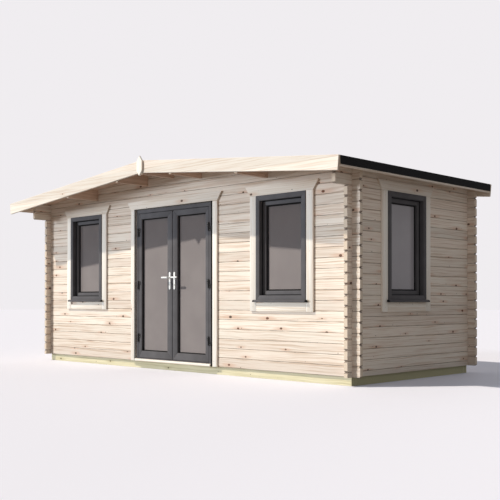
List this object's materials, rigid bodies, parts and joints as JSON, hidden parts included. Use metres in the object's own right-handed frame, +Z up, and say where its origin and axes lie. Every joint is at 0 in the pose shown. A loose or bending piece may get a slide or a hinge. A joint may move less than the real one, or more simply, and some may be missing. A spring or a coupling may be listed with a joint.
{
  "type": "log cabin",
  "caption": "Rectangular log cabin with interlocking corners, a low felted gable roof over a deep porch overhang, framed windows and glazed double doors that swing outwards.",
  "frame": {"origin": "on the ground under the middle of the roof's outline", "axes": "+Z up, +X along the front wall to the right as seen from outside, -Y out of the front wall"},
  "size_m": [5.896, 2.929, 2.5521],
  "materials": {
    "spruce_log": "planed, untreated",
    "spruce_board": "planed, untreated",
    "treated_timber": "pressure treated",
    "roofing_felt": "mineral felt",
    "anthracite_plastic": "satin foil",
    "glazing": "clear",
    "white_handle": "gloss",
    "anthracite_hinge": "satin"
  },
  "bodies": {
    "cabin": {"back_bargeboards": "spruce_board", "back_wall_gable_logs": "spruce_log", "back_wall_logs": "spruce_log", "door_frame": "anthracite_plastic", "door_hinge_posts": "anthracite_hinge", "door_sill_board": "spruce_board", "door_trim": "spruce_board", "eave_boards": "spruce_board", "floor_boards": "spruce_board", "floor_joists": "treated_timber", "foundation_bearers": "treated_timber", "front_bargeboards": "spruce_board", "front_left_window_frame": "anthracite_plastic", "front_left_window_sash": "anthracite_plastic", "front_right_window_frame": "anthracite_plastic", "front_right_window_sash": "anthracite_plastic", "front_wall_gable_logs": "spruce_log", "front_wall_left_logs": "spruce_log", "front_wall_right_logs": "spruce_log", "gable_finials": "spruce_board", "left_roof_boards": "spruce_board", "left_roof_felt": "roofing_felt", "left_side_window_frame": "anthracite_plastic", "left_side_window_sash": "anthracite_plastic", "left_wall_logs": "spruce_log", "right_roof_boards": "spruce_board", "right_roof_felt": "roofing_felt", "right_side_window_frame": "anthracite_plastic", "right_side_window_sash": "anthracite_plastic", "right_wall_logs": "spruce_log", "roof_purlins": "spruce_board", "window_panes": "glazing", "window_trims": "spruce_board"},
    "left_door": {"left_door_hinges": "anthracite_hinge", "left_door_leaf": "anthracite_plastic", "left_door_pane": "glazing", "left_handle_plates": "white_handle"},
    "right_door": {"right_door_hinges": "anthracite_hinge", "right_door_leaf": "anthracite_plastic", "right_door_pane": "glazing", "right_handle_plates": "white_handle"},
    "left_door_lever": {"left_lever": "white_handle"},
    "right_door_lever": {"right_lever": "white_handle"}
  },
  "joints": [
    {"name": "left_door_swing", "type": "hinge", "parent": "cabin", "child": "left_door", "pos_m": [-0.6505, -0.9615, 1.0473], "axis": [0, 0, -1], "range_deg": [0, 105]},
    {"name": "left_lever_turn", "type": "hinge", "parent": "left_door", "child": "left_door_lever", "pos_m": [-0.043, -0.9505, 1.132], "axis": [0, -1, 0], "range_deg": [0, 40], "stiffness_Nm_per_rad": 2, "springref_deg": -28.65},
    {"name": "right_door_swing", "type": "hinge", "parent": "cabin", "child": "right_door", "pos_m": [0.6505, -0.9615, 1.0473], "axis": [0, 0, 1], "range_deg": [0, 105]},
    {"name": "right_lever_turn", "type": "hinge", "parent": "right_door", "child": "right_door_lever", "pos_m": [0.043, -0.9505, 1.132], "axis": [0, 1, 0], "range_deg": [0, 40], "stiffness_Nm_per_rad": 2, "springref_deg": -28.65}
  ]
}
